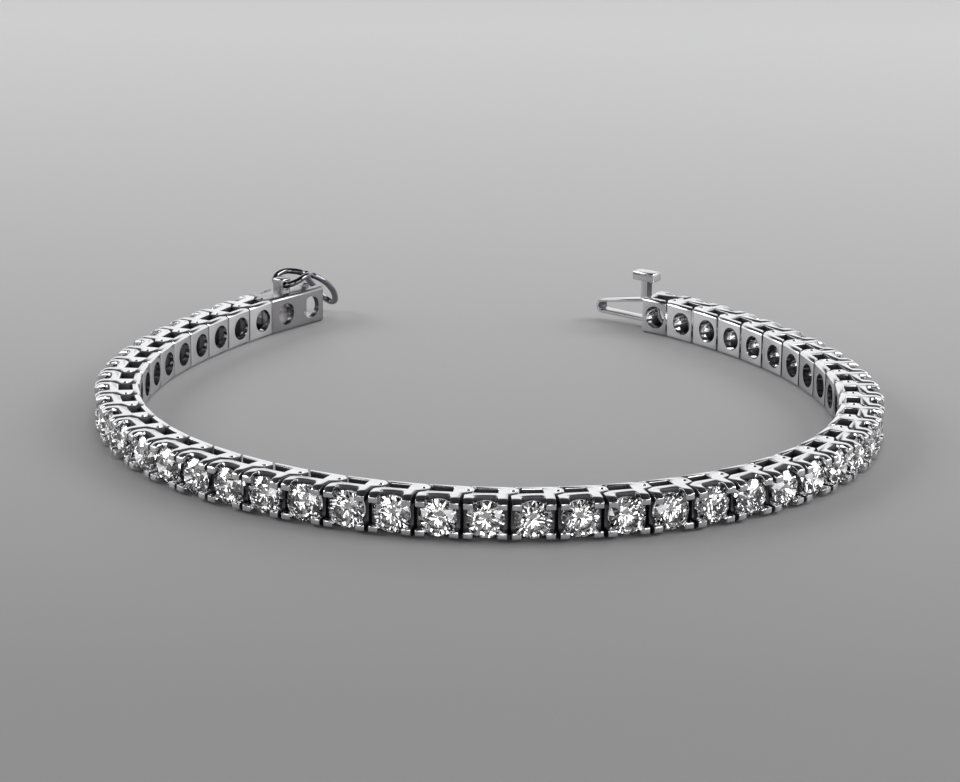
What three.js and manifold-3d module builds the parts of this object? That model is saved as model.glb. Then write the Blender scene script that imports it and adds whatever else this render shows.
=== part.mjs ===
// A tennis bracelet of square four-prong box links in white metal, standing on its side edge as an
// open horseshoe. Millimetres, +Z up. The row starts with the tongue link at the back right, runs
// clockwise down the right side, across the front and up the left side, and ends in the clasp box.
// Every piece is drawn in its own frame: x down the row, y from the inner face outwards, z up.
import * as THREE from "three";
import { mergeVertices } from "three/addons/utils/BufferGeometryUtils.js";
import Module from "manifold-3d";

const wasm = await Module();
wasm.setup();

// ---- Driving dimensions -------------------------------------------------------------------

const PITCH = 3.6; // from one link pin to the next
const WIDTH = 3.5; // across the band, the height of the bracelet as it stands
const DEPTH = 4.0; // from the flat inner face to the prong tips
const LINK_COUNT = 46; // plain links, without the clasp box and the tongue link
const JOINT_GAP = 0.14; // clearance of a link's end at the inner face, each side of the joint

// How the row bends: each row of the table is a run of joints that share one clockwise turn.
const ROUTE = [
  { joints: 1, turnDeg: 7.5 }, // tongue link to the first link
  { joints: 4, turnDeg: 4.0 },
  { joints: 4, turnDeg: 5.0 },
  { joints: 4, turnDeg: 6.3 },
  { joints: 7, turnDeg: 7.0 },
  { joints: 4, turnDeg: 6.3 },
  { joints: 8, turnDeg: 6.0 },
  { joints: 7, turnDeg: 6.5 },
  { joints: 3, turnDeg: 5.0 },
  { joints: 4, turnDeg: 3.4 },
  { joints: 1, turnDeg: 5.0 }, // last link to the clasp box
];
const START_HEADING = -37; // degrees, the way the tongue link points down the row

// A link in side view, its nose pin at x = 0 and its slot's pin at x = PITCH.
const RAIL = 0.17 * DEPTH; // thickness of the flat inner plate
const SLOT_TOP = 0.47 * DEPTH; // the slot for the neighbour's nose lies between the two
const VALLEY = 0.67 * DEPTH; // floor between the prongs, seen from the side
const PIN_Y = (RAIL + SLOT_TOP) / 2;
const SLOT_END = 0.32 * PITCH;
const NOSE_TIP = -0.145 * PITCH;
const NOSE_PLAY = 0.12; // between a nose and the slot that it sits in
const REAR_X = 0.09 * PITCH; // the prongs stand a little further down the row than the pins
const FORE_X = 1.07 * PITCH;
const PRONG = 0.79; // side of a square prong
const STONE_X = (REAR_X + FORE_X) / 2;

// A link in end view.
const INNER_HALF = 0.43 * PITCH; // half the height of the inner face, inside its bevels
const PAD_HALF = 0.405 * PITCH; // half the height over the prong pads
const END_VALLEY = 0.73 * DEPTH; // floor between the prongs, seen from the end

// The seat that the stone sits in, as radii round the link's own axis.
const BORE_R = 1.1;
const GIRDLE_R = 1.61;
const GIRDLE_Y = 3.46;
const TIP_R = 1.34;
const BORE_SIDES = 10;

// The clasp box and its tongue.
const BOX_STONES = 2;
const BOX_PITCH = BOX_STONES * PITCH;
const MOUTH_X = BOX_PITCH - PITCH + FORE_X;
const CAVITY = { end: 0.85, floor: 0.55, roof: 2.25, half: 1.25 };
const THUMB_SLOT = { length: 1.35, floor: 0.85, roof: 1.95 };
const TONGUE = { length: 6.2, from: 0.7, to: 2.1, strip: 0.28, low: -0.75, tipHigh: 0.35, rootHigh: 1.3 };
const END_WALL_X = 0.55; // outer side of the tongue link's end wall
const POST = { x: -0.02, side: 0.8, depth: 0.85 };
const HEAD = { length: 2.5, depth: 1.4, low: 3.15, high: 4.05 };

// The safety catch, a wire bent to a figure eight that hinges in a lug on the box's side.
const LUG = { x: 3.45, y: 1.9, length: 1.3, depth: 1.3, height: 1.35, hole: 0.52 };
const HINGE_Z = WIDTH / 2 + 0.7;
const WIRE_R = 0.3;
const CATCH_RISE = 0.62; // slope of the wire's arch where it leaves the hinge
const CATCH_FALL = 0.145; // how fast the arch bends down, per millimetre
const LOOPS = [
  // Each row is a pair of points, one on either strand; reach is measured from the hinge.
  [
    { reach: 0.0, half: 0.62 },
    { reach: 0.42, half: 1.28 },
    { reach: 1.7, half: 1.5 },
    { reach: 3.0, half: 1.0 },
    { reach: 3.75, half: 0.28 },
  ],
  [
    { reach: 3.6, half: 0.28 },
    { reach: 4.35, half: 0.95 },
    { reach: 5.6, half: 1.3 },
    { reach: 6.8, half: 0.95 },
    { reach: 7.25, half: 0.3 },
  ],
];

// ---- Materials ----------------------------------------------------------------------------

const metal = (color, roughness) => new THREE.MeshStandardMaterial({ color, roughness, metalness: 1 });
const LINK_METAL = { color: 0xd9d9dc, roughness: 0.16 };
const CLASP_METAL = { color: 0xcfd0d4, roughness: 0.2 };
const WIRE_METAL = { color: 0xc4c5ca, roughness: 0.14 };

// ---- From geometries to solids and back -----------------------------------------------------

/** A closed geometry as a solid that can be joined and cut. */
function solidOf(geometry) {
  const plain = geometry.clone();
  plain.deleteAttribute("normal");
  plain.deleteAttribute("uv");
  const merged = mergeVertices(plain, 1e-4);
  return new wasm.Manifold(
    new wasm.Mesh({
      numProp: 3,
      vertProperties: merged.attributes.position.array,
      triVerts: new Uint32Array(merged.index.array),
    }),
  );
}

/** A named mesh made of a solid, with a material of its own. */
function meshOf(name, solid, look) {
  const { vertProperties, triVerts, numProp } = solid.getMesh();
  const geometry = new THREE.BufferGeometry();
  geometry.setAttribute("position", new THREE.Float32BufferAttribute(vertProperties, numProp));
  geometry.setIndex(new THREE.BufferAttribute(triVerts, 1));
  geometry.computeVertexNormals();
  const mesh = new THREE.Mesh(geometry, metal(look.color, look.roughness));
  mesh.name = name;
  return mesh;
}

const outlineOf = (points) => new THREE.Shape(points.map(([x, y]) => new THREE.Vector2(x, y)));

/** An outline drawn in side view, extruded across the band and centred on its middle plane. */
function acrossBand(outline, thickness) {
  const geometry = new THREE.ExtrudeGeometry(outline, { depth: thickness, bevelEnabled: false });
  return geometry.translate(0, 0, -thickness / 2);
}

/** An outline drawn in end view (z, y), symmetric in z, extruded along the row from x = from to x = to. */
function alongRow(outline, from, to) {
  const geometry = new THREE.ExtrudeGeometry(outline, { depth: to - from, bevelEnabled: false });
  return geometry.rotateY(Math.PI / 2).translate(from, 0, 0);
}

/** A block given by its least and greatest corners. */
function block(low, high) {
  const [sizeX, sizeY, sizeZ] = high.map((value, axis) => value - low[axis]);
  const geometry = new THREE.BoxGeometry(sizeX, sizeY, sizeZ);
  return geometry.translate(low[0] + sizeX / 2, low[1] + sizeY / 2, low[2] + sizeZ / 2);
}

// ---- What links, box and tongue link share --------------------------------------------------

/** The top of one stone's cell in side view, from its rear prong to its fore prong. */
const cellTop = (shift) =>
  [
    [REAR_X, DEPTH],
    [REAR_X + PRONG, DEPTH],
    [REAR_X + PRONG, VALLEY + 0.5],
    [REAR_X + PRONG + 0.34, VALLEY],
    [FORE_X - PRONG - 0.34, VALLEY],
    [FORE_X - PRONG, VALLEY + 0.5],
    [FORE_X - PRONG, DEPTH],
    [FORE_X, DEPTH],
  ].map(([x, y]) => [x + shift, y]);

/** The nose, which enters the slot of the piece before it in the row. */
const NOSE_OUTLINE = [
  [JOINT_GAP, 0],
  [NOSE_TIP, RAIL + NOSE_PLAY],
  [NOSE_TIP, SLOT_TOP - NOSE_PLAY],
  [REAR_X, 2.12],
];

/** The fore end of a link, with the slot that its neighbour's nose sits in. */
const SLOT_OUTLINE = [
  [FORE_X, 2.42],
  [PITCH - 0.5, SLOT_TOP],
  [SLOT_END, SLOT_TOP],
  [SLOT_END, RAIL],
  [PITCH - 0.72, RAIL],
  [PITCH - JOINT_GAP, 0],
];

/** The band in end view: bevelled inner edges, sloping prong shoulders, a valley between prongs. */
function endOutline() {
  const half = [
    [INNER_HALF, 0],
    [WIDTH / 2, 0.22],
    [WIDTH / 2, 3.45],
    [PAD_HALF, DEPTH],
    [WIDTH / 2 - PRONG, DEPTH],
    [WIDTH / 2 - PRONG, END_VALLEY],
  ];
  const mirrored = half.map(([z, y]) => [-z, y]).reverse();
  return outlineOf([...half, ...mirrored]);
}

/** The round seat and the bore under it, cut down from the prong tips to y = bottom. */
function seatCutter(shift, bottom) {
  const profile = [
    [0, bottom],
    [BORE_R, bottom],
    [BORE_R, SLOT_TOP],
    [GIRDLE_R, GIRDLE_Y],
    [TIP_R, DEPTH + 0.1],
    [0, DEPTH + 0.1],
  ].map(([radius, y]) => new THREE.Vector2(radius, y));
  const geometry = new THREE.LatheGeometry(profile, BORE_SIDES);
  return solidOf(geometry.rotateY(Math.PI / BORE_SIDES).translate(STONE_X + shift, 0, 0));
}

/** A side outline extruded across the band and trimmed to the band's end view. */
function bandSolid(sideOutline, length) {
  const side = solidOf(acrossBand(outlineOf(sideOutline), WIDTH + 1));
  return side.intersect(solidOf(alongRow(endOutline(), -PITCH, length + PITCH)));
}

// ---- The pieces -----------------------------------------------------------------------------

/** One plain link. */
function linkSolid() {
  const side = [...NOSE_OUTLINE, ...cellTop(0), ...SLOT_OUTLINE];
  return bandSolid(side, PITCH).subtract(seatCutter(0, -0.1));
}

/** The folded spring tongue seen from the inner side: low leaf, fold and rising upper leaf. */
function tongueOutline() {
  const rootX = SLOT_END - 0.2;
  const half = TONGUE.strip / 2;
  const foldZ = (TONGUE.low + TONGUE.tipHigh) / 2;
  const foldR = (TONGUE.tipHigh - TONGUE.low) / 2;
  const foldX = END_WALL_X - TONGUE.length + foldR + half;
  const postX = POST.x + POST.side / 2;
  const shape = new THREE.Shape();
  shape.moveTo(rootX, TONGUE.low - half);
  shape.lineTo(foldX, TONGUE.low - half);
  shape.absarc(foldX, foldZ, foldR + half, -Math.PI / 2, Math.PI / 2, true);
  shape.lineTo(postX, TONGUE.rootHigh + half);
  shape.lineTo(postX, TONGUE.rootHigh - half);
  shape.lineTo(foldX, TONGUE.tipHigh - half);
  shape.absarc(foldX, foldZ, foldR - half, Math.PI / 2, -Math.PI / 2, false);
  shape.lineTo(rootX, TONGUE.low + half);
  return shape;
}

/** The end link with its folded tongue and its thumb piece. */
function tongueLinkSolid() {
  const side = [[END_WALL_X, 0], [END_WALL_X, 2.12], [REAR_X, 2.4], ...cellTop(0), ...SLOT_OUTLINE];
  const body = bandSolid(side, PITCH).subtract(seatCutter(0, -0.1));
  const spring = new THREE.ExtrudeGeometry(tongueOutline(), {
    depth: TONGUE.to - TONGUE.from,
    bevelEnabled: false,
    curveSegments: 8,
  });
  spring.rotateX(Math.PI / 2).translate(0, TONGUE.to, 0);
  const middleY = (TONGUE.from + TONGUE.to) / 2;
  const post = block(
    [POST.x - POST.side / 2, middleY - POST.depth / 2, TONGUE.rootHigh - TONGUE.strip / 2],
    [POST.x + POST.side / 2, middleY + POST.depth / 2, HEAD.low + 0.1],
  );
  const head = block(
    [POST.x - HEAD.length / 2, middleY - HEAD.depth / 2, HEAD.low],
    [POST.x + HEAD.length / 2, middleY + HEAD.depth / 2, HEAD.high],
  );
  return body.add(solidOf(spring)).add(solidOf(post)).add(solidOf(head));
}

/** The clasp box: two stone cells over a hollow that is open at the mouth, and the catch's lug. */
function claspBoxSolid() {
  const side = [...NOSE_OUTLINE, ...cellTop(0), ...cellTop(PITCH), [MOUTH_X, 0]];
  let box = bandSolid(side, BOX_PITCH);
  const hollow = block(
    [CAVITY.end, CAVITY.floor, -CAVITY.half],
    [MOUTH_X + 1, CAVITY.roof, CAVITY.half],
  );
  const thumbSlot = block(
    [MOUTH_X - THUMB_SLOT.length, THUMB_SLOT.floor, 0],
    [MOUTH_X + 1, THUMB_SLOT.roof, WIDTH],
  );
  box = box.subtract(solidOf(hollow)).subtract(solidOf(thumbSlot));
  for (let cell = 0; cell < BOX_STONES; cell += 1) {
    box = box.subtract(seatCutter(cell * PITCH, -0.1));
  }
  const lug = block(
    [LUG.x - LUG.length / 2, LUG.y - LUG.depth / 2, WIDTH / 2 - 0.2],
    [LUG.x + LUG.length / 2, LUG.y + LUG.depth / 2, WIDTH / 2 + LUG.height],
  );
  const eye = new THREE.CylinderGeometry(LUG.hole, LUG.hole, LUG.depth * 2, 12);
  eye.translate(LUG.x, LUG.y, HINGE_Z);
  return box.add(solidOf(lug)).subtract(solidOf(eye));
}

/** The safety catch in the box's frame: two wire loops that meet at the waist. */
function catchSolid() {
  const place = (reach, side) => {
    const height = reach * (CATCH_RISE - CATCH_FALL * reach);
    return new THREE.Vector3(LUG.x + reach, LUG.y + side, HINGE_Z + height);
  };
  const loops = LOOPS.map((rows) => {
    const near = rows.map(({ reach, half }) => place(reach, -half));
    const far = rows.map(({ reach, half }) => place(reach, half)).reverse();
    const wire = new THREE.CatmullRomCurve3([...near, ...far], true, "centripetal");
    return solidOf(new THREE.TubeGeometry(wire, 24, WIRE_R, 6, true));
  });
  return loops[0].add(loops[1]);
}

// ---- The row ----------------------------------------------------------------------------------

/** A group whose x axis runs down the row and whose y axis points outwards from the band. */
function station(x, y, headingDeg) {
  const place = new THREE.Group();
  place.position.set(x, y, WIDTH / 2);
  place.rotation.z = THREE.MathUtils.degToRad(headingDeg);
  return place;
}

const turns = ROUTE.flatMap(({ joints, turnDeg }) => new Array(joints).fill(turnDeg));
const plainLink = linkSolid();
const bracelet = new THREE.Group();
const row = new THREE.Group();
bracelet.add(row);

const pieces = [{ pitch: PITCH, meshes: [meshOf("tongue_link", tongueLinkSolid(), CLASP_METAL)] }];
for (let number = 1; number <= LINK_COUNT; number += 1) {
  const name = `link_${String(number).padStart(2, "0")}`;
  pieces.push({ pitch: PITCH, meshes: [meshOf(name, plainLink, LINK_METAL)] });
}
pieces.push({
  pitch: BOX_PITCH,
  meshes: [
    meshOf("clasp_box", claspBoxSolid(), CLASP_METAL),
    meshOf("safety_catch", catchSolid(), WIRE_METAL),
  ],
});

let [pinX, pinY, heading] = [0, 0, START_HEADING];
pieces.forEach(({ pitch, meshes }, index) => {
  const place = station(pinX, pinY, heading);
  for (const mesh of meshes) {
    mesh.position.y = -PIN_Y;
    place.add(mesh);
  }
  row.add(place);
  pinX += pitch * Math.cos(THREE.MathUtils.degToRad(heading));
  pinY += pitch * Math.sin(THREE.MathUtils.degToRad(heading));
  heading -= turns[index] ?? 0;
});

// The origin is under the middle of the whole bracelet.
const bounds = new THREE.Box3().setFromObject(bracelet, true);
const middle = bounds.getCenter(new THREE.Vector3());
row.position.set(-middle.x, -middle.y, -bounds.min.z);

export default bracelet;
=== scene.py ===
"""Visual model of a tennis bracelet in polished white metal with round brilliants.

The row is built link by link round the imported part: square four-prong links, the tongue link with
its folded spring, the two-stone clasp box, and the hinged figure-eight safety catch.
"""

import logging
import math
from dataclasses import dataclass, field
from enum import Enum
from typing import Callable, Iterable, Sequence

import bpy
from mathutils import Matrix, Vector

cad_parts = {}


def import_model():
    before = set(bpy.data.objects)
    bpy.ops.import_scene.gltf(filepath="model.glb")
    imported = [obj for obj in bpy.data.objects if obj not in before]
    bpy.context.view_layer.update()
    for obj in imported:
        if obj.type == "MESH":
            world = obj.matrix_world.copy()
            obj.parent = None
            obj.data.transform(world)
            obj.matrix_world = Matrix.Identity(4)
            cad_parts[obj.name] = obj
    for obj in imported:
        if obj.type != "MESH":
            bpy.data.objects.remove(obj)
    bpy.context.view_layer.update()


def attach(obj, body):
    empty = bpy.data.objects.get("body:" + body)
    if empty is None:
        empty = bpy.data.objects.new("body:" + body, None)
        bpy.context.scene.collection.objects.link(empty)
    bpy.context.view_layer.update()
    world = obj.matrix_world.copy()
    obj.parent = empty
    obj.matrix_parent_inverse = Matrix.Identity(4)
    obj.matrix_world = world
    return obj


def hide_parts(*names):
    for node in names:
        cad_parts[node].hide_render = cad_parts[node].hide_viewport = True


LOG = logging.getLogger("bracelet")
MM = 0.001  # pieces are modelled in millimetres and set in place in metres

Point = tuple[float, float]


class Slot(Enum):
    """The part's own finishes, by the name of their slot."""

    LINK = "link_metal"
    CLASP = "clasp_metal"
    WIRE = "wire_metal"
    STONE = "stone"


# ---- Driving dimensions, in millimetres -------------------------------------------------------


@dataclass(frozen=True)
class Band:
    """Sizes that every piece of the row shares."""

    pitch: float = 3.6
    width: float = 3.5
    depth: float = 4.0
    rail: float = 0.68
    slot_top: float = 1.88
    valley: float = 2.68
    slot_end: float = 1.152
    nose_tip: float = -0.522
    nose_play: float = 0.12
    rear: float = 0.324
    fore: float = 3.852
    prong: float = 0.79
    stone_x: float = 2.088
    joint_gap: float = 0.14
    inner_half: float = 1.548
    pad_half: float = 1.458
    end_valley: float = 2.92
    bevel: float = 0.075

    @property
    def pin_y(self) -> float:
        """Height of the link pins over the inner face."""
        return (self.rail + self.slot_top) / 2

    @property
    def half(self) -> float:
        """Half the width of the band."""
        return self.width / 2


BAND = Band()
LINK_COUNT = 46
SHADED_RECESS = 1  # material index of the slot walls, joint faces and valley floors that take the painted shade
START_HEADING = -37.0
START_PIN = (14.1889, 31.2015)  # where the tongue link's own pin line stands
ROUTE = (
    # (joints, clockwise turn of each in degrees)
    (1, 7.5),
    (4, 4.0),
    (4, 5.0),
    (4, 6.3),
    (7, 7.0),
    (4, 6.3),
    (8, 6.0),
    (7, 6.5),
    (3, 5.0),
    (4, 3.4),
    (1, 5.0),
)


# ---- Modelling helpers ------------------------------------------------------------------------


def deselect() -> None:
    """Leaves nothing selected."""
    bpy.ops.object.select_all(action="DESELECT")


def make_active(piece: bpy.types.Object) -> bpy.types.Object:
    """Makes a piece the only selected and the active object.

    Args:
        piece: The object to work on.

    Returns:
        The same object.
    """
    deselect()
    piece.select_set(True)
    bpy.context.view_layer.objects.active = piece
    return piece


def tidy(piece: bpy.types.Object) -> bpy.types.Object:
    """Merges doubled points and turns all faces outwards.

    Args:
        piece: The mesh object to tidy.

    Returns:
        The same object.
    """
    make_active(piece)
    bpy.ops.object.mode_set(mode="EDIT")
    bpy.ops.mesh.select_all(action="SELECT")
    bpy.ops.mesh.remove_doubles(threshold=1e-3)
    bpy.ops.mesh.normals_make_consistent(inside=False)
    bpy.ops.object.mode_set(mode="OBJECT")
    return piece


def prism(outline: Sequence[Point], low: float, high: float, axis: str, name: str) -> bpy.types.Object:
    """Draws an outline point by point and extrudes it into a solid.

    Args:
        outline: Corners in millimetres, as (x, y) for axis "z" and as (z, y) for axis "x".
        low: Where the solid starts along the axis.
        high: Where it ends.
        axis: "z" for an outline in side view, "x" for one in end view, "y" for one seen from inside (x, z).
        name: Name of the new object.

    Returns:
        The solid.
    """

    def at(point: Point) -> Vector:
        a, b = point[0], point[1]
        if axis == "z":
            return Vector((a, b, low))
        if axis == "x":
            return Vector((low, b, a))
        return Vector((a, low, b))

    deselect()
    bpy.ops.mesh.primitive_plane_add(size=1.0, location=at(outline[0]))
    piece = bpy.context.active_object
    piece.name = name
    bpy.ops.object.transform_apply(location=True, rotation=True, scale=True)
    bpy.ops.object.mode_set(mode="EDIT")
    bpy.ops.mesh.select_all(action="SELECT")
    bpy.ops.mesh.merge(type="CENTER")
    for here, there in zip(outline, outline[1:]):
        step = at(there) - at(here)
        bpy.ops.mesh.extrude_vertices_move(TRANSFORM_OT_translate={"value": step})
    bpy.ops.mesh.select_all(action="SELECT")
    bpy.ops.mesh.edge_face_add()
    length = (high - low)
    way = {"z": (0, 0, length), "x": (length, 0, 0), "y": (0, length, 0)}[axis]
    bpy.ops.mesh.select_all(action="SELECT")
    bpy.ops.mesh.extrude_region_move(TRANSFORM_OT_translate={"value": way})
    bpy.ops.object.mode_set(mode="OBJECT")
    return tidy(piece)


def block(low: Sequence[float], high: Sequence[float], name: str) -> bpy.types.Object:
    """A cuboid between two corners.

    Args:
        low: Least corner in millimetres.
        high: Greatest corner in millimetres.
        name: Name of the new object.

    Returns:
        The cuboid, to be joined or cut.
    """
    middle = [(a + b) / 2 for a, b in zip(low, high)]
    size = [(b - a) for a, b in zip(low, high)]
    deselect()
    bpy.ops.mesh.primitive_cube_add(size=1, location=middle, scale=size)
    piece = bpy.context.active_object
    piece.name = name
    bpy.ops.object.transform_apply(location=True, rotation=True, scale=True)
    return piece


def turned(profile: Sequence[Point], x: float, sides: int, name: str) -> bpy.types.Object:
    """A turned solid about an axis that runs along y, drawn up ring by ring from a disc.

    Args:
        profile: (radius, y) of each ring, in millimetres.
        x: Where the axis stands along the row.
        sides: Corners of each ring.
        name: Name of the new object.

    Returns:
        The solid.
    """
    (radius, start), *rings = profile
    deselect()
    bpy.ops.mesh.primitive_circle_add(
        vertices=sides,
        radius=radius,
        fill_type="NGON",
        location=(x, start, 0),
        rotation=(math.pi / 2, 0, 0),
    )
    piece = bpy.context.active_object
    piece.name = name
    bpy.ops.object.transform_apply(location=True, rotation=True, scale=True)
    bpy.ops.object.mode_set(mode="EDIT")
    bpy.ops.mesh.select_all(action="SELECT")
    for wider, height in rings:
        bpy.ops.mesh.extrude_region_move(TRANSFORM_OT_translate={"value": (0, (height - start), 0)})
        share = wider / radius
        bpy.ops.transform.resize(value=(share, 1.0, share), center_override=(x, height, 0))
        radius, start = wider, height
    bpy.ops.object.mode_set(mode="OBJECT")
    return tidy(piece)


def combine(base: bpy.types.Object, tool: bpy.types.Object, how: str) -> bpy.types.Object:
    """Joins, cuts or trims one solid with another, which is used up.

    Args:
        base: The solid that is changed.
        tool: The solid that changes it.
        how: "UNION", "DIFFERENCE" or "INTERSECT".

    Returns:
        The changed solid.
    """
    make_active(base)
    change = base.modifiers.new("cut", "BOOLEAN")
    change.operation = how
    change.solver = "EXACT"
    change.object = tool
    bpy.ops.object.modifier_apply(modifier=change.name)
    bpy.data.objects.remove(tool)
    return base


def soften(piece: bpy.types.Object, width: float, segments: int = 2, angle: float = 30.0) -> bpy.types.Object:
    """Rounds the sharp edges of a solid.

    Args:
        piece: The solid.
        width: Width of the rounding in millimetres.
        segments: Faces across the rounding.
        angle: Edges sharper than this many degrees are rounded.

    Returns:
        The same object.
    """
    make_active(piece)
    rounding = piece.modifiers.new("edges", "BEVEL")
    rounding.width = width
    rounding.segments = segments
    rounding.limit_method = "ANGLE"
    rounding.angle_limit = math.radians(angle)
    rounding.use_clamp_overlap = True
    bpy.ops.object.modifier_apply(modifier=rounding.name)
    return piece


def smooth(piece: bpy.types.Object, angle: float = 32.0) -> bpy.types.Object:
    """Shades a piece smooth except over its sharper edges.

    Args:
        piece: The mesh object.
        angle: The least sharp edge, in degrees.

    Returns:
        The same object.
    """
    make_active(piece)
    bpy.ops.object.shade_smooth_by_angle(angle=math.radians(angle), keep_sharp_edges=True)
    return piece


# ---- Shared shader groups ---------------------------------------------------------------------


def new_group(name: str, inputs: dict[str, float], outputs: dict[str, str]) -> bpy.types.NodeTree:
    """Makes an empty shader group with named sockets.

    Args:
        name: Name of the group.
        inputs: Float inputs and their usual values.
        outputs: Output names and their socket types.

    Returns:
        The group.
    """
    group = bpy.data.node_groups.new(name, "ShaderNodeTree")
    for label, value in inputs.items():
        made = group.interface.new_socket(name=label, in_out="INPUT", socket_type="NodeSocketFloat")
        made.default_value = value
    for label, kind in outputs.items():
        group.interface.new_socket(name=label, in_out="OUTPUT", socket_type=kind)
    return group


def polish_group() -> bpy.types.NodeTree:
    """Hand-polished metal: hairlines and faint smears.

    Returns:
        A group that puts out Tone (colour), Roughness and Height.
    """
    group = new_group(
        "PolishedMetal",
        {"Red": 0.86, "Green": 0.86, "Blue": 0.87, "Base Roughness": 0.1, "Wear": 0.05, "Scale": 900.0},
        {"Tone": "NodeSocketColor", "Roughness": "NodeSocketFloat", "Height": "NodeSocketFloat"},
    )
    nodes, links = group.nodes, group.links
    source = nodes.new("NodeGroupInput")
    out = nodes.new("NodeGroupOutput")
    where = nodes.new("ShaderNodeTexCoord")

    smears = nodes.new("ShaderNodeTexNoise")
    smears.inputs["Detail"].default_value = 5.0
    links.new(where.outputs["Object"], smears.inputs["Vector"])
    links.new(source.outputs["Scale"], smears.inputs["Scale"])

    stretch = nodes.new("ShaderNodeMapping")
    stretch.inputs["Rotation"].default_value = (0.3, 0.5, 0.7)
    stretch.inputs["Scale"].default_value = (1.0, 14.0, 3.0)
    links.new(where.outputs["Object"], stretch.inputs["Vector"])
    hairlines = nodes.new("ShaderNodeTexNoise")
    hairlines.inputs["Scale"].default_value = 2600.0
    hairlines.inputs["Detail"].default_value = 3.0
    links.new(stretch.outputs["Vector"], hairlines.inputs["Vector"])

    rough = nodes.new("ShaderNodeMath")
    rough.operation = "MULTIPLY_ADD"
    links.new(smears.outputs["Fac"], rough.inputs[0])
    links.new(source.outputs["Wear"], rough.inputs[1])
    links.new(source.outputs["Base Roughness"], rough.inputs[2])
    links.new(rough.outputs[0], out.inputs["Roughness"])
    links.new(hairlines.outputs["Fac"], out.inputs["Height"])

    base = nodes.new("ShaderNodeCombineColor")
    links.new(source.outputs["Red"], base.inputs[0])
    links.new(source.outputs["Green"], base.inputs[1])
    links.new(source.outputs["Blue"], base.inputs[2])
    dull = nodes.new("ShaderNodeMixRGB")
    dull.blend_type = "MULTIPLY"
    shade = nodes.new("ShaderNodeMapRange")
    shade.inputs["From Min"].default_value = 0.35
    shade.inputs["From Max"].default_value = 0.75
    shade.inputs["To Min"].default_value = 0.0
    shade.inputs["To Max"].default_value = 0.12
    links.new(smears.outputs["Fac"], shade.inputs["Value"])
    links.new(shade.outputs["Result"], dull.inputs["Fac"])
    links.new(base.outputs["Color"], dull.inputs["Color1"])
    dull.inputs["Color2"].default_value = (0.45, 0.45, 0.48, 1.0)
    links.new(dull.outputs["Color"], out.inputs["Tone"])
    return group


@dataclass(frozen=True)
class Metal:
    """A polished white-metal finish.

    Attributes:
        name: Name of the material.
        colour: Base colour.
        roughness: Least roughness of the polish.
        wear: How much smears add to the roughness.
        scale: How fine the smears are.
    """

    name: str
    colour: tuple[float, float, float]
    roughness: float
    wear: float
    scale: float

    def build(self, polish: bpy.types.NodeTree) -> bpy.types.Material:
        """Makes the material.

        Args:
            polish: The shared polish group.

        Returns:
            The material.
        """
        material = bpy.data.materials.new(self.name)
        material.use_nodes = True
        nodes, links = material.node_tree.nodes, material.node_tree.links
        shader = nodes["Principled BSDF"]
        shader.inputs["Metallic"].default_value = 1.0
        effect = nodes.new("ShaderNodeGroup")
        effect.node_tree = polish
        for label, value in zip(("Red", "Green", "Blue"), self.colour):
            effect.inputs[label].default_value = value
        effect.inputs["Base Roughness"].default_value = self.roughness
        effect.inputs["Wear"].default_value = self.wear
        effect.inputs["Scale"].default_value = self.scale
        bump = nodes.new("ShaderNodeBump")
        bump.inputs["Strength"].default_value = 0.06
        bump.inputs["Distance"].default_value = 0.00001
        links.new(effect.outputs["Tone"], shader.inputs["Base Color"])
        links.new(effect.outputs["Roughness"], shader.inputs["Roughness"])
        links.new(effect.outputs["Height"], bump.inputs["Height"])
        links.new(bump.outputs["Normal"], shader.inputs["Normal"])
        return material


@dataclass(frozen=True)
class Brilliant:
    """Clear stone with a high refractive index.

    Attributes:
        name: Name of the material.
        index: Index of refraction.
    """

    name: str = "clear_stone"
    index: float = 2.42

    def build(self) -> bpy.types.Material:
        """Makes the material, with the faintest variation of tint from stone to stone."""
        material = bpy.data.materials.new(self.name)
        material.use_nodes = True
        nodes, links = material.node_tree.nodes, material.node_tree.links
        shader = nodes["Principled BSDF"]
        shader.inputs["Transmission Weight"].default_value = 1.0
        shader.inputs["IOR"].default_value = self.index
        shader.inputs["Roughness"].default_value = 0.0
        where = nodes.new("ShaderNodeTexCoord")
        patches = nodes.new("ShaderNodeTexNoise")
        patches.inputs["Scale"].default_value = 180.0
        links.new(where.outputs["Object"], patches.inputs["Vector"])
        tint = nodes.new("ShaderNodeMixRGB")
        tint.inputs["Color1"].default_value = (0.97, 0.98, 1.0, 1.0)
        tint.inputs["Color2"].default_value = (1.0, 0.99, 0.97, 1.0)
        links.new(patches.outputs["Fac"], tint.inputs["Fac"])
        links.new(tint.outputs["Color"], shader.inputs["Base Color"])
        return material


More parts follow.
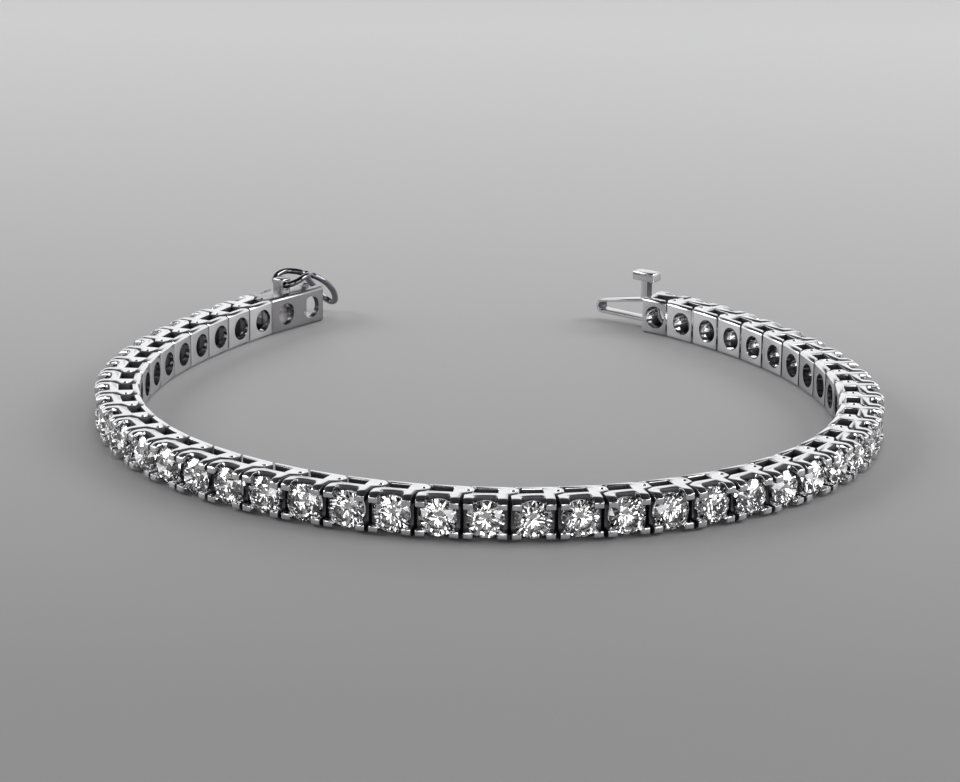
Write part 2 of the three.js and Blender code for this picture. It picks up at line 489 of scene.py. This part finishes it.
@dataclass
class Finishes:
    """The materials of the bracelet, built once."""

    made: dict[Slot, bpy.types.Material] = field(default_factory=dict)
    recess_shade: bpy.types.Material | None = None
    box: bpy.types.Material | None = None

    def build(self) -> None:
        """Builds every finish."""
        polish = polish_group()
        # near-black copy of the metal: painted shade for slot walls, joint faces and valley floors
        self.recess_shade = Metal("painted_shade_recess", (0.1, 0.1, 0.11), 0.38, 0.2, 1500.0).build(polish)
        # the box's white gold, painted much darker than the links': painted shade
        self.box = Metal("box_white_gold_painted_shade", (0.34, 0.335, 0.345), 0.17, 0.16, 650.0).build(polish)
        table = (
            (Slot.LINK, Metal("link_white_gold", (0.76, 0.76, 0.775), 0.09, 0.07, 900.0)),
            (Slot.CLASP, Metal("clasp_white_gold", (0.62, 0.62, 0.635), 0.09, 0.09, 700.0)),
            # the catch's white gold, painted near-black: painted shade
            (Slot.WIRE, Metal("wire_white_gold_painted_shade", (0.2, 0.2, 0.225), 0.1, 0.08, 1100.0)),
        )
        for slot, finish in table:
            self.made[slot] = finish.build(polish)
        self.made[Slot.STONE] = Brilliant().build()

    def dress(self, piece: bpy.types.Object, slot: Slot) -> None:
        """Gives a piece its material, and the near-black painted-shade material to its marked faces.

        Args:
            piece: The mesh object.
            slot: Which finish it takes.
        """
        # faces marked for painted shade keep the near-black recess material
        inside = [face.material_index == SHADED_RECESS for face in piece.data.polygons]
        piece.data.materials.clear()
        piece.data.materials.append(self.made[slot])
        if any(inside):
            piece.data.materials.append(self.recess_shade)
            for face, dull in zip(piece.data.polygons, inside):
                face.material_index = SHADED_RECESS if dull else 0


# ---- The row of stations ----------------------------------------------------------------------


@dataclass(frozen=True)
class Station:
    """Where one piece of the row stands.

    Attributes:
        node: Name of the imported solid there.
        place: Matrix from the piece's own frame, in millimetres, to the part's frame, in metres.
    """

    node: str
    place: Matrix


def stations() -> list[Station]:
    """Walks down the row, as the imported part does.

    Returns:
        The stations from the tongue link to the clasp box.
    """
    turns = [turn for joints, turn in ROUTE for _ in range(joints)]
    names = ["tongue_link"] + [f"link_{i:02d}" for i in range(1, LINK_COUNT + 1)] + ["clasp_box"]
    heading, spot, found = START_HEADING, Vector((*START_PIN, 0)) * MM, []
    for index, name in enumerate(names):
        angle = math.radians(heading)
        place = (
            Matrix.Translation(spot)
            @ Matrix.Rotation(angle, 4, "Z")
            @ Matrix.Scale(MM, 4)
            @ Matrix.Translation((0, -BAND.pin_y, BAND.half))
        )
        found.append((name, place))
        spot = spot + Vector((math.cos(angle), math.sin(angle), 0)) * BAND.pitch * MM
        heading -= turns[index] if index < len(turns) else 0
    return [Station(name, place) for name, place in found]


# ---- Shared shapes of the row -----------------------------------------------------------------


def cell_top(shift: float) -> list[Point]:
    """The top of one stone's cell in side view, from its rear prong to its fore prong."""
    b = BAND
    points = (
        (b.rear, b.depth),
        (b.rear + b.prong, b.depth),
        (b.rear + b.prong, b.valley + 0.5),
        (b.rear + b.prong + 0.12, b.valley + 0.16),
        (b.rear + b.prong + 0.34, b.valley),
        (b.fore - b.prong - 0.34, b.valley),
        (b.fore - b.prong - 0.12, b.valley + 0.16),
        (b.fore - b.prong, b.valley + 0.5),
        (b.fore - b.prong, b.depth),
        (b.fore, b.depth),
    )
    return [(x + shift, y) for x, y in points]


def nose() -> list[Point]:
    """The nose that enters the slot of the piece before it in the row."""
    b = BAND
    return [
        (b.joint_gap, 0.0),
        (b.nose_tip, b.rail + b.nose_play),
        (b.nose_tip, b.slot_top - b.nose_play),
        (b.rear, 2.12),
    ]


def slot_end() -> list[Point]:
    """The fore end of a link, with the slot that its neighbour's nose sits in."""
    b = BAND
    return [
        (b.fore, 2.42),
        (b.pitch - 0.5, b.slot_top),
        (b.slot_end, b.slot_top),
        (b.slot_end, b.rail),
        (b.pitch - 0.72, b.rail),
        (b.pitch - b.joint_gap, 0.0),
    ]


def end_outline() -> list[Point]:
    """The band in end view: bevelled inner edges, sloping shoulders, a valley between the prongs."""
    b = BAND
    half = [
        (b.inner_half, 0.0),
        (b.half, 0.22),
        (b.half, 3.3),
        (b.half - 0.06, 3.6),
        (b.pad_half, b.depth),
        (b.half - b.prong, b.depth),
        (b.half - b.prong, b.end_valley),
    ]
    return half + [(-z, y) for z, y in reversed(half)]


def band_solid(side: Sequence[Point], length: float, name: str) -> bpy.types.Object:
    """A side outline given the band's width and trimmed to its end view.

    Args:
        side: The outline (x, y).
        length: Length of the piece along the row.
        name: Name of the new object.

    Returns:
        The sharp-edged solid.
    """
    body = prism(side, -BAND.half - 0.5, BAND.half + 0.5, "z", name)
    trim = prism(end_outline(), -BAND.pitch, length + BAND.pitch, "x", "trim")
    return combine(body, trim, "INTERSECT")


def seat(shift: float) -> bpy.types.Object:
    """The round seat of a stone and the bore under it, as a cutter.

    Args:
        shift: How far down the row the cell stands.

    Returns:
        The cutter.
    """
    profile = ((1.1, -0.1), (1.1, 1.88), (1.56, 3.1), (1.61, 3.46), (1.34, 4.1))
    return turned(profile, BAND.stone_x + shift, 32, "seat")


def dimple(x: float, side: int) -> bpy.types.Object:
    """The sunk end of a link pin, as a cutter.

    Args:
        x: Where the pin stands.
        side: +1 for the upper side plate, -1 for the lower.

    Returns:
        The cutter.
    """
    deselect()
    bpy.ops.mesh.primitive_uv_sphere_add(
        segments=16,
        ring_count=8,
        radius=0.3,
        location=(x, BAND.pin_y, side * (BAND.half + 0.17)),
    )
    made = bpy.context.active_object
    bpy.ops.object.transform_apply(location=True, rotation=True, scale=True)
    return made


def pinned(piece: bpy.types.Object) -> bpy.types.Object:
    """Sinks the pin ends into a piece's nose."""
    for side in (-1, 1):
        combine(piece, dimple(-0.06, side), "DIFFERENCE")
    return piece


def mark_painted_shade(piece: bpy.types.Object, length: float) -> bpy.types.Object:
    """Marks slot walls, joint faces and valley floors for the near-black material that paints the shade in
    them.

    Args:
        piece: A piece in its own frame.
        length: How far down the row its slot reaches.

    Returns:
        The same object.
    """
    for _ in range(2):
        piece.data.materials.append(None)
    low, high = BAND.rail - 0.1, BAND.slot_top + 0.1
    for face in piece.data.polygons:
        spot, way = face.center, face.normal
        within = low < spot.y < high and abs(spot.z) < BAND.half - 0.05
        along = length - BAND.pitch + BAND.slot_end - 0.1 < spot.x < length + 0.2
        floor = way.y > 0.5 and BAND.slot_top < spot.y < BAND.valley + 0.6
        past = spot.x < BAND.rear + 0.1 or spot.x > length - BAND.pitch + BAND.fore - 0.1
        flank = past and abs(way.x) > 0.7 and spot.y < BAND.depth - 0.3
        # these faces take the painted shade
        if (within and along and abs(way.z) < 0.5) or floor or flank:
            face.material_index = SHADED_RECESS
    return piece


# ---- Pieces -----------------------------------------------------------------------------------


@dataclass
class Stones:
    """Round brilliants, cut facet by facet from a round blank.

    Attributes:
        radius: Radius at the girdle.
        girdle_y: Height of the girdle's middle over the inner face.
        girdle: Half the girdle's thickness, as a share of the radius.
        table: Radius of the table's corners, as a share.
        crown: Angle of the crown mains in degrees.
        pavilion: Angle of the pavilion mains in degrees.
    """

    radius: float = 1.56
    girdle_y: float = 3.36
    girdle: float = 0.03
    table: float = 0.56
    crown: float = 34.5
    pavilion: float = 40.8

    def facet(self, azimuth: float, slope: float, reach: float, height: float, up: bool) -> None:
        """Grinds one facet.

        Args:
            azimuth: Direction that it faces, in degrees.
            slope: Tangent of its angle to the girdle plane.
            reach: Distance from the axis to a line in it.
            height: Height of that line over the girdle's middle.
            up: True on the crown.
        """
        a = math.radians(azimuth)
        sign = 1 if up else -1
        way = Vector((math.cos(a) * slope, math.sin(a) * slope, sign)).normalized()
        spot = Vector((math.cos(a) * reach, math.sin(a) * reach, sign * height)) * self.radius
        bpy.ops.mesh.select_all(action="SELECT")
        bpy.ops.mesh.bisect(plane_co=spot, plane_no=way, use_fill=True, clear_outer=True, threshold=1e-4)

    def cut(self) -> bpy.types.Object:
        """Cuts one stone with its axis along y.

        Returns:
            The stone, in a link's own frame.
        """
        g, c, p = self.girdle, math.tan(math.radians(self.crown)), math.tan(math.radians(self.pavilion))
        top, deep = g + (1 - self.table) * c, g + p
        deselect()
        bpy.ops.mesh.primitive_cylinder_add(
            vertices=32,
            radius=self.radius,
            depth=(top + deep) * self.radius,
            location=(0, 0, (top - deep) / 2 * self.radius),
        )
        stone = bpy.context.active_object
        stone.name = "stone_blank"
        bpy.ops.object.transform_apply(location=True, rotation=True, scale=True)
        bpy.ops.object.mode_set(mode="EDIT")
        eighth, half = math.radians(22.5), math.radians(11.25)
        table_edge = self.table * math.cos(eighth)
        star = (table_edge + 1) / 2
        star_height = g + (1 - star * math.cos(eighth)) * c
        upper = (star_height - g) / ((1 - star) * math.cos(half))
        low_tip = 0.23
        low_height = g + (1 - low_tip * math.cos(eighth)) * p
        lower = (low_height - g) / ((1 - low_tip) * math.cos(half))
        for k in range(8):
            self.facet(45 * k, c, 1.0, g, True)
            self.facet(45 * k, p, 1.0, g, False)
        for k in range(16):
            self.facet(22.5 * k + 11.25, upper, math.cos(half), g, True)
            self.facet(22.5 * k + 11.25, lower, math.cos(half), g, False)
        for k in range(8):
            self.facet(45 * k + 22.5, (top - star_height) / (star - table_edge), table_edge, top, True)
        bpy.ops.mesh.select_all(action="SELECT")
        bpy.ops.mesh.remove_doubles(threshold=2e-3)
        bpy.ops.mesh.normals_make_consistent(inside=False)
        bpy.ops.object.mode_set(mode="OBJECT")
        stone.data.transform(Matrix.Rotation(math.radians(-90), 4, "X"))
        stone.data.transform(
            Matrix.Translation((BAND.stone_x, self.girdle_y, 0)) @ Matrix.Rotation(0.2, 4, "Y")
        )
        return stone

    def build(self, row: Sequence[Station], finishes: Finishes) -> list[bpy.types.Object]:
        """Sets a stone in every cell of the row.

        Args:
            row: The stations.
            finishes: The bracelet's materials.

        Returns:
            The stones.
        """
        master, made = self.cut(), []
        cells = [(station.place, 0.0) for station in row] + [(row[-1].place, BAND.pitch)]
        for number, (place, shift) in enumerate(cells, 1):
            turn = Matrix.Translation((BAND.stone_x, 0, 0)) @ Matrix.Rotation(0.61 * number, 4, "Y")
            turn = turn @ Matrix.Translation((-BAND.stone_x, 0, 0))
            stone = copy_of(master, f"stone_{number:02d}", place @ Matrix.Translation((shift, 0, 0)) @ turn)
            finishes.dress(stone, Slot.STONE)
            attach(stone, "bracelet")
            made.append(stone)
        bpy.data.objects.remove(master)
        return made


def copy_of(master: bpy.types.Object, name: str, place: Matrix) -> bpy.types.Object:
    """Copies a finished model with a mesh of its own, its place in its mesh.

    Args:
        master: The model in its own frame.
        name: Name of the copy.
        place: Where the copy goes.

    Returns:
        The copy, its object at the origin.
    """
    copied = master.copy()
    copied.data = master.data.copy()
    copied.name = copied.data.name = name
    copied.data.transform(place)
    bpy.context.collection.objects.link(copied)
    return copied


@dataclass
class PlainLinks:
    """The plain four-prong links."""

    name: str = "links"

    def model(self) -> bpy.types.Object:
        """Models one link in its own frame.

        Returns:
            The link.
        """
        link = band_solid(nose() + cell_top(0) + slot_end(), BAND.pitch, "link_model")
        soften(tidy(link), BAND.bevel)
        combine(link, seat(0), "DIFFERENCE")
        pinned(link)
        return mark_painted_shade(smooth(tidy(link)), BAND.pitch)

    def build(self, row: Sequence[Station], finishes: Finishes) -> list[bpy.types.Object]:
        """Copies the link to every plain station.

        Args:
            row: The stations.
            finishes: The bracelet's materials.

        Returns:
            The links.
        """
        master, made = self.model(), []
        for station in row:
            if not station.node.startswith("link_"):
                continue
            link = copy_of(master, "fine_" + station.node, station.place)
            finishes.dress(link, Slot.LINK)
            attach(link, "bracelet")
            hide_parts(station.node)
            made.append(link)
        bpy.data.objects.remove(master)
        return made


@dataclass
class TongueLink:
    """The end link with its folded spring and thumb piece.

    Attributes:
        wall: Outer side of the end wall.
        length: Length of the spring.
        strip: Thickness of its strip.
        low: Height of the lower leaf over mid-width.
        tip_high: Height of the upper leaf at the fold.
        root_high: Height of the upper leaf at the root.
        inner: Inner side of the strip.
        outer: Outer side of the strip.
    """

    wall: float = 0.55
    length: float = 6.2
    strip: float = 0.28
    low: float = -0.75
    tip_high: float = 0.35
    root_high: float = 1.3
    inner: float = 0.7
    outer: float = 2.1

    def spring(self) -> bpy.types.Object:
        """Bends the strip: low leaf, fold and rising upper leaf.

        Returns:
            The spring.
        """
        half = self.strip / 2
        fold_z, fold_r = (self.low + self.tip_high) / 2, (self.tip_high - self.low) / 2
        fold_x = self.wall - self.length + fold_r + half
        post_x = -0.02 + 0.4
        steps = 10

        def arc(radius: float, backwards: bool) -> list[Point]:
            turn = [math.pi * (i / steps) for i in range(steps + 1)]
            points = [(fold_x - radius * math.sin(t), fold_z - radius * math.cos(t)) for t in turn]
            return points[::-1] if backwards else points

        root = BAND.slot_end - 0.2
        outline = [(root, self.low - half)] + arc(fold_r + half, False)
        outline += [(post_x, self.root_high + half), (post_x, self.root_high - half)]
        outline += arc(fold_r - half, True) + [(root, self.low + half)]
        return soften(prism(outline, self.inner, self.outer, "y", "spring"), 0.05)

    def build(self, station: Station, finishes: Finishes) -> bpy.types.Object:
        """Models the tongue link in place.

        Args:
            station: Where it stands.
            finishes: The bracelet's materials.

        Returns:
            The tongue link.
        """
        side = [(self.wall, 0.0), (self.wall, 2.12), (BAND.rear, 2.4)] + cell_top(0) + slot_end()
        body = soften(tidy(band_solid(side, BAND.pitch, "tongue_model")), BAND.bevel)
        combine(body, seat(0), "DIFFERENCE")
        combine(body, self.spring(), "UNION")
        middle = (self.inner + self.outer) / 2
        post = block((-0.42, middle - 0.425, self.root_high - 0.14), (0.38, middle + 0.425, 3.3), "post")
        combine(body, soften(post, 0.08), "UNION")
        head = block((-1.27, middle - 0.7, 3.15), (1.23, middle + 0.7, 4.05), "head")
        combine(body, soften(head, 0.14, 3), "UNION")
        piece = copy_of(mark_painted_shade(smooth(tidy(body)), BAND.pitch), "fine_tongue_link", station.place)
        bpy.data.objects.remove(body)
        finishes.dress(piece, Slot.CLASP)
        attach(piece, "bracelet")
        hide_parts(station.node)
        return piece


@dataclass
class ClaspBox:
    """The two-stone box that takes the tongue, with the catch's lug.

    Attributes:
        lug: Least and greatest corner of the lug.
        hole: Radius of the eye in the lug.
        hinge_z: Height of the eye over mid-width.
    """

    lug: tuple[tuple[float, float, float], tuple[float, float, float]] = ((2.8, 1.25, 1.55), (4.1, 2.55, 3.1))
    hole: float = 0.52
    hinge_z: float = 2.45

    def build(self, station: Station, finishes: Finishes) -> bpy.types.Object:
        """Models the box in place.

        Args:
            station: Where it stands.
            finishes: The bracelet's materials.

        Returns:
            The box.
        """
        length = 2 * BAND.pitch
        mouth = length - BAND.pitch + BAND.fore
        side = nose() + cell_top(0) + cell_top(BAND.pitch) + [(mouth, 0.0)]
        body = soften(tidy(band_solid(side, length, "box_model")), BAND.bevel)
        combine(body, block((0.85, 0.55, -1.25), (mouth + 1, 2.25, 1.25), "hollow"), "DIFFERENCE")
        combine(body, block((mouth - 1.35, 0.85, 0.0), (mouth + 1, 1.95, 3.5), "thumb_slot"), "DIFFERENCE")
        for shift in (0.0, BAND.pitch):
            combine(body, seat(shift), "DIFFERENCE")
        pinned(body)
        combine(body, soften(block(*self.lug, "lug"), 0.2, 3), "UNION")
        deselect()
        bpy.ops.mesh.primitive_cylinder_add(
            vertices=32,
            radius=self.hole,
            depth=3,
            location=(3.45, 1.9, self.hinge_z),
            rotation=(math.pi / 2, 0, 0),
        )
        eye = bpy.context.active_object
        bpy.ops.object.transform_apply(location=True, rotation=True, scale=True)
        combine(body, eye, "DIFFERENCE")
        piece = copy_of(smooth(tidy(body)), "fine_clasp_box", station.place)
        bpy.data.objects.remove(body)
        finishes.dress(piece, Slot.CLASP)
        # the box wears the darker copy of the metal, its painted shade
        piece.data.materials[0] = finishes.box
        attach(piece, "bracelet")
        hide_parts(station.node)
        return piece


@dataclass
class SafetyCatch:
    """The figure-eight wire catch.

    Attributes:
        wire: Radius of the wire.
        rise: Slope of its arch at the hinge.
        fall: How fast the arch bends down, per millimetre.
        loops: (reach, half width) of each pair of points, for either loop.
    """

    wire: float = 0.3
    rise: float = 0.62
    fall: float = 0.145
    loops: tuple[tuple[Point, ...], ...] = (
        ((0.0, 0.62), (0.42, 1.28), (1.7, 1.5), (3.0, 1.0), (3.75, 0.28)),
        ((3.6, 0.28), (4.35, 0.95), (5.6, 1.3), (6.8, 0.95), (7.25, 0.3)),
    )

    def loop(self, rows: Iterable[Point], hinge_z: float) -> bpy.types.Object:
        """Bends one closed loop of wire.

        Args:
            rows: (reach, half width) of each pair of points.
            hinge_z: Height of the hinge.

        Returns:
            The loop as a mesh.
        """
        rows = list(rows)
        places = [(r, -h) for r, h in rows] + [(r, h) for r, h in reversed(rows)]
        points = [(3.45 + r, 1.9 + h, hinge_z + r * (self.rise - self.fall * r)) for r, h in places]
        line = bpy.data.curves.new("loop", "CURVE")
        line.dimensions = "3D"
        line.bevel_depth = self.wire
        line.bevel_resolution = 4
        spline = line.splines.new("BEZIER")
        spline.bezier_points.add(len(points) - 1)
        for knot, point in zip(spline.bezier_points, points):
            knot.co = Vector(point)
            knot.handle_left_type = knot.handle_right_type = "AUTO"
        spline.use_cyclic_u = True
        spline.resolution_u = 8
        made = bpy.data.objects.new("loop", line)
        bpy.context.collection.objects.link(made)
        make_active(made)
        bpy.ops.object.convert(target="MESH")
        return tidy(bpy.context.active_object)

    def build(self, station: Station, hinge_z: float, finishes: Finishes) -> bpy.types.Object:
        """Models the catch in place.

        Args:
            station: The clasp box's station.
            hinge_z: Height of the hinge over mid-width.
            finishes: The bracelet's materials.

        Returns:
            The catch.
        """
        near, far = (self.loop(rows, hinge_z) for rows in self.loops)
        body = smooth(tidy(combine(near, far, "UNION")), 60.0)
        piece = copy_of(body, "fine_safety_catch", station.place)
        bpy.data.objects.remove(body)
        # the wire takes the near-black copy of the metal, its painted shade
        finishes.dress(piece, Slot.WIRE)
        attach(piece, "catch")
        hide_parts("safety_catch")
        return piece


# ---- Stage ------------------------------------------------------------------------------------


@dataclass
class Studio:
    """Pale floor, soft light and the camera."""

    # the floor's colour is painted darker towards the front: painted shade
    floor_near: float = 0.195
    floor_far: float = 0.47

    def floor(self) -> None:
        """Lays the pale floor."""
        deselect()
        bpy.ops.mesh.primitive_plane_add(size=6.0, location=(0, 0, 0))
        ground = bpy.context.active_object
        ground.name = "floor"
        paper = bpy.data.materials.new("pale_board")
        paper.use_nodes = True
        shader = paper.node_tree.nodes["Principled BSDF"]
        nodes, links = paper.node_tree.nodes, paper.node_tree.links
        where = nodes.new("ShaderNodeTexCoord")
        split = nodes.new("ShaderNodeSeparateXYZ")
        links.new(where.outputs["Object"], split.inputs[0])
        depth = nodes.new("ShaderNodeMapRange")
        depth.inputs["From Min"].default_value = -0.07
        depth.inputs["From Max"].default_value = 0.2
        links.new(split.outputs["Y"], depth.inputs["Value"])
        # painted shade: the board darkens from the far colour to the near one towards the front
        shade = nodes.new("ShaderNodeMixRGB")
        near, far = self.floor_near, self.floor_far
        shade.inputs["Color1"].default_value = (near, near * 0.985, near * 0.985, 1.0)
        shade.inputs["Color2"].default_value = (far, far, far * 1.01, 1.0)
        links.new(depth.outputs["Result"], shade.inputs["Fac"])
        links.new(shade.outputs["Color"], shader.inputs["Base Color"])
        shader.inputs["Roughness"].default_value = 0.6
        ground.data.materials.append(paper)

    def surroundings(self) -> None:
        """Sets bright walls round the set and a dark ceiling over it."""
        world = bpy.data.worlds.new("studio")
        bpy.context.scene.world = world
        world.use_nodes = True
        nodes, links = world.node_tree.nodes, world.node_tree.links
        shine = nodes["Background"]
        where = nodes.new("ShaderNodeTexCoord")
        split = nodes.new("ShaderNodeSeparateXYZ")
        links.new(where.outputs["Generated"], split.inputs[0])
        height = nodes.new("ShaderNodeValToRGB")
        ramp = height.color_ramp
        ramp.elements[0].position, ramp.elements[0].color = 0.0, (1.0, 1.0, 1.0, 1)
        ramp.elements[1].position, ramp.elements[1].color = 0.42, (1.0, 1.0, 1.0, 1)
        for position, level in ((0.55, 0.06), (1.0, 0.02)):
            made = ramp.elements.new(position)
            made.color = (level, level, level * 1.05, 1)
        links.new(split.outputs["Z"], height.inputs["Fac"])
        front = nodes.new("ShaderNodeMapRange")
        front.inputs["From Min"].default_value = -1.0
        front.inputs["From Max"].default_value = 0.1
        front.inputs["To Min"].default_value = 0.3
        front.inputs["To Max"].default_value = 1.1
        links.new(split.outputs["Y"], front.inputs["Value"])
        panes = nodes.new("ShaderNodeTexNoise")
        panes.inputs["Scale"].default_value = 3.6
        panes.inputs["Detail"].default_value = 0.0
        links.new(where.outputs["Generated"], panes.inputs["Vector"])
        crisp = nodes.new("ShaderNodeMapRange")
        crisp.inputs["From Min"].default_value = 0.5
        crisp.inputs["From Max"].default_value = 0.54
        crisp.inputs["To Min"].default_value = 0.02
        crisp.inputs["To Max"].default_value = 3.4
        links.new(panes.outputs["Fac"], crisp.inputs["Value"])
        facing = nodes.new("ShaderNodeMapRange")
        facing.inputs["From Min"].default_value = -0.3
        facing.inputs["From Max"].default_value = -0.1
        links.new(split.outputs["Y"], facing.inputs["Value"])
        strength = nodes.new("ShaderNodeMix")
        links.new(facing.outputs["Result"], strength.inputs["Factor"])
        links.new(crisp.outputs["Result"], strength.inputs["A"])
        links.new(front.outputs["Result"], strength.inputs["B"])
        links.new(height.outputs["Color"], shine.inputs["Color"])
        links.new(strength.outputs["Result"], shine.inputs["Strength"])

    def lamp(self, name: str, spot: Sequence[float], size: float, watts: float, seen: bool) -> None:
        """Hangs a soft lamp that points at the bracelet.

        Args:
            name: Name of the lamp.
            spot: Where it hangs, in metres.
            size: Side of its square face.
            watts: Its power.
            seen: Whether polished metal mirrors it.
        """
        light = bpy.data.lights.new(name, "AREA")
        light.size, light.energy = size, watts
        holder = bpy.data.objects.new(name, light)
        bpy.context.collection.objects.link(holder)
        holder.location = spot
        holder.rotation_mode = "QUATERNION"
        holder.rotation_quaternion = (-Vector(spot)).to_track_quat("-Z", "Y")
        holder.visible_glossy = seen

    def camera(self) -> None:
        """Places the camera with a long lens in front of the bracelet."""
        data = bpy.data.cameras.new("camera")
        data.lens = 125.6
        data.sensor_width = 36.0
        data.clip_start, data.clip_end = 0.01, 20.0
        holder = bpy.data.objects.new("camera", data)
        bpy.context.collection.objects.link(holder)
        holder.location = Vector((10.5, -288.4, 85.4)) * MM
        yaw, pitch, roll = (math.radians(a) for a in (-2.243, -16.078, 0.634))
        forward = Vector(
            (math.sin(yaw) * math.cos(pitch), math.cos(yaw) * math.cos(pitch), math.sin(pitch))
        )
        right = forward.cross(Vector((0, 0, 1))).normalized()
        up = right.cross(forward)
        level = Matrix((right, up, -forward)).transposed()
        holder.rotation_mode = "QUATERNION"
        holder.rotation_quaternion = (level @ Matrix.Rotation(roll, 3, "Z")).to_quaternion()
        bpy.context.scene.camera = holder

    def build(self) -> None:
        """Sets the whole stage."""
        bpy.context.scene.view_settings.view_transform = "Standard"
        self.floor()
        self.surroundings()
        self.lamp("soft_top", (0.1, 0.1, 0.6), 0.5, 2.2, False)
        self.lamp("side_left", (-0.5, 0.1, 0.35), 0.3, 2.0, True)
        self.lamp("side_right", (0.5, 0.1, 0.35), 0.3, 2.0, True)
        self.camera()


def main() -> None:
    """Builds the bracelet, its finishes and the stage."""
    logging.basicConfig(level=logging.INFO, format="%(name)s: %(message)s")
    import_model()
    row = stations()
    finishes = Finishes()
    finishes.build()
    builders: tuple[tuple[str, Callable[[], object]], ...] = (
        ("links", lambda: PlainLinks().build(row, finishes)),
        ("tongue link", lambda: TongueLink().build(row[0], finishes)),
        ("clasp box", lambda: ClaspBox().build(row[-1], finishes)),
        ("safety catch", lambda: SafetyCatch().build(row[-1], ClaspBox.hinge_z, finishes)),
        ("stones", lambda: Stones().build(row, finishes)),
    )
    for name, build in builders:
        build()
        LOG.info("built the %s", name)
    Studio().build()


if __name__ == "__main__":
    main()
